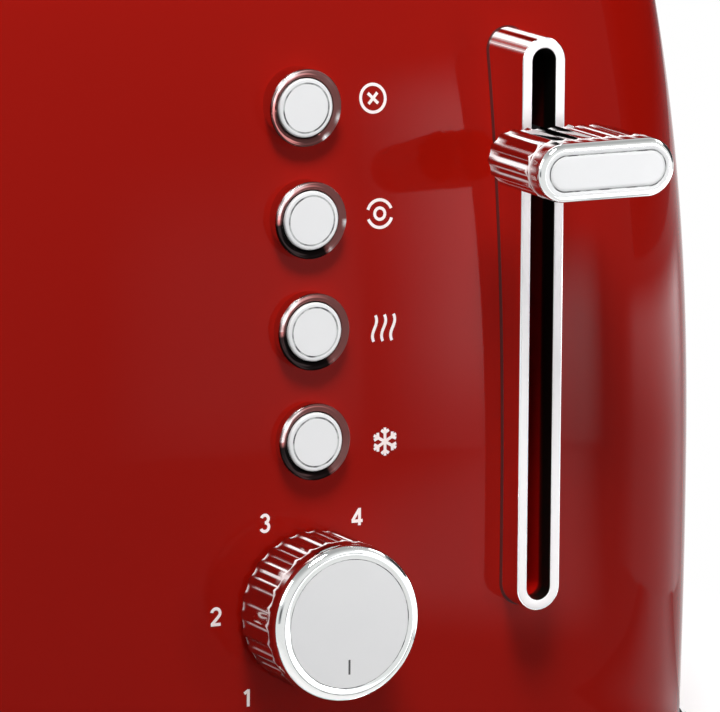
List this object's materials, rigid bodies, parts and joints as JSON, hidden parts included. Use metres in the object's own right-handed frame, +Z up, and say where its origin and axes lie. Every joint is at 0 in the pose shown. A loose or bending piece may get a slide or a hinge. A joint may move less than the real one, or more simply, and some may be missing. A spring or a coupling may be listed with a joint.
{
  "type": "toaster",
  "caption": "Two-slice retro toaster with a red shell, chrome lever in a tall slot frame, push buttons and a fluted browning knob on its short end.",
  "frame": {"origin": "on the table, under the middle of the whole object's length and width", "axes": "+X across the body to the lever's side, the control panel faces -Y, +Z up"},
  "size_m": [0.2114, 0.3378, 0.1964],
  "materials": {
    "red_paint": "gloss enamel",
    "chrome": "polished",
    "satin_chrome": "satin",
    "sheet_steel": "plain sheet",
    "black_plastic": "matte",
    "rubber": "matte",
    "mica": "mica sheet",
    "board": "lacquered",
    "ribbon": "heat-tinted"
  },
  "bodies": {
    "toaster_body": {"body_shell": "red_paint", "top_frame": "chrome", "base_trim": "chrome", "base_plate": "black_plastic", "base_screws": "sheet_steel", "foot_1": "rubber", "foot_2": "rubber", "foot_3": "rubber", "foot_4": "rubber", "slot_bezel": "chrome", "button_ring_1": "chrome", "button_ring_2": "chrome", "button_ring_3": "chrome", "button_ring_4": "chrome", "control_carrier": "black_plastic", "control_board": "board", "switch_1": "black_plastic", "switch_2": "black_plastic", "switch_3": "black_plastic", "switch_4": "black_plastic", "dial_sensor": "black_plastic", "guide_rod_left": "sheet_steel", "guide_rod_right": "sheet_steel", "rod_bracket": "sheet_steel", "lift_spring": "sheet_steel", "latch_magnet": "ribbon", "front_plate": "sheet_steel", "rear_plate": "sheet_steel", "reflector_left": "sheet_steel", "reflector_right": "sheet_steel", "heater_card_left": "mica", "heater_card_middle": "mica", "heater_card_right": "mica", "heater_ribbon_left": "ribbon", "heater_ribbon_middle": "ribbon", "heater_ribbon_right": "ribbon", "inlet_plate": "black_plastic", "cord_gland": "black_plastic", "terminal_block": "black_plastic"},
    "carriage": {"lever_handle": "chrome", "lever_arm": "black_plastic", "carriage": "sheet_steel", "keeper": "sheet_steel", "lifter_left": "sheet_steel", "lifter_right": "sheet_steel"},
    "dial": {"knob": "chrome", "knob_disc": "satin_chrome", "dial_shaft": "sheet_steel"},
    "tray": {"crumb_tray": "sheet_steel", "tray_handle": "chrome"},
    "button_body_1": {"button_1": "chrome"},
    "guide_body_1": {"bread_guide_1": "sheet_steel"},
    "button_body_2": {"button_2": "chrome"},
    "guide_body_2": {"bread_guide_2": "sheet_steel"},
    "button_body_3": {"button_3": "chrome"},
    "guide_body_3": {"bread_guide_3": "sheet_steel"},
    "button_body_4": {"button_4": "chrome"},
    "guide_body_4": {"bread_guide_4": "sheet_steel"}
  },
  "joints": [
    {"name": "lever_slide", "type": "slide", "parent": "toaster_body", "child": "carriage", "axis": [0, 0, 1], "range_m": [-0.078, 0.014], "stiffness_N_per_m": 120, "springref_m": 0.01398, "deforming": ["lift_spring"]},
    {"name": "knob_turn", "type": "hinge", "parent": "toaster_body", "child": "dial", "pos_m": [0, -0.14585, 0.046], "axis": [0, 1, 0], "range_deg": [0, 320]},
    {"name": "tray_slide", "type": "slide", "parent": "toaster_body", "child": "tray", "axis": [0, 1, 0], "range_m": [0, 0.2]},
    {"name": "button_1_press", "type": "slide", "parent": "toaster_body", "child": "button_body_1", "axis": [0, 1, 0], "range_m": [0, 0.0015], "stiffness_N_per_m": 900},
    {"name": "button_2_press", "type": "slide", "parent": "toaster_body", "child": "button_body_2", "axis": [0, 1, 0], "range_m": [0, 0.0015], "stiffness_N_per_m": 900},
    {"name": "button_3_press", "type": "slide", "parent": "toaster_body", "child": "button_body_3", "axis": [0, 1, 0], "range_m": [0, 0.0015], "stiffness_N_per_m": 900},
    {"name": "button_4_press", "type": "slide", "parent": "toaster_body", "child": "button_body_4", "axis": [0, 1, 0], "range_m": [0, 0.0015], "stiffness_N_per_m": 900},
    {"name": "guide_1_close", "type": "slide", "parent": "toaster_body", "child": "guide_body_1", "axis": [1, 0, 0], "range_m": [-0.00091, 0.00501]},
    {"name": "guide_2_close", "type": "slide", "parent": "toaster_body", "child": "guide_body_2", "axis": [1, 0, 0], "range_m": [-0.00501, 0.00091]},
    {"name": "guide_3_close", "type": "slide", "parent": "toaster_body", "child": "guide_body_3", "axis": [1, 0, 0], "range_m": [-0.00091, 0.00501]},
    {"name": "guide_4_close", "type": "slide", "parent": "toaster_body", "child": "guide_body_4", "axis": [1, 0, 0], "range_m": [-0.00501, 0.00091]}
  ],
  "couplings": [
    {"joint": "guide_1_close", "follows": "lever_slide", "ratio": -0.064103},
    {"joint": "guide_2_close", "follows": "lever_slide", "ratio": 0.064103},
    {"joint": "guide_3_close", "follows": "lever_slide", "ratio": -0.064103},
    {"joint": "guide_4_close", "follows": "lever_slide", "ratio": 0.064103}
  ]
}
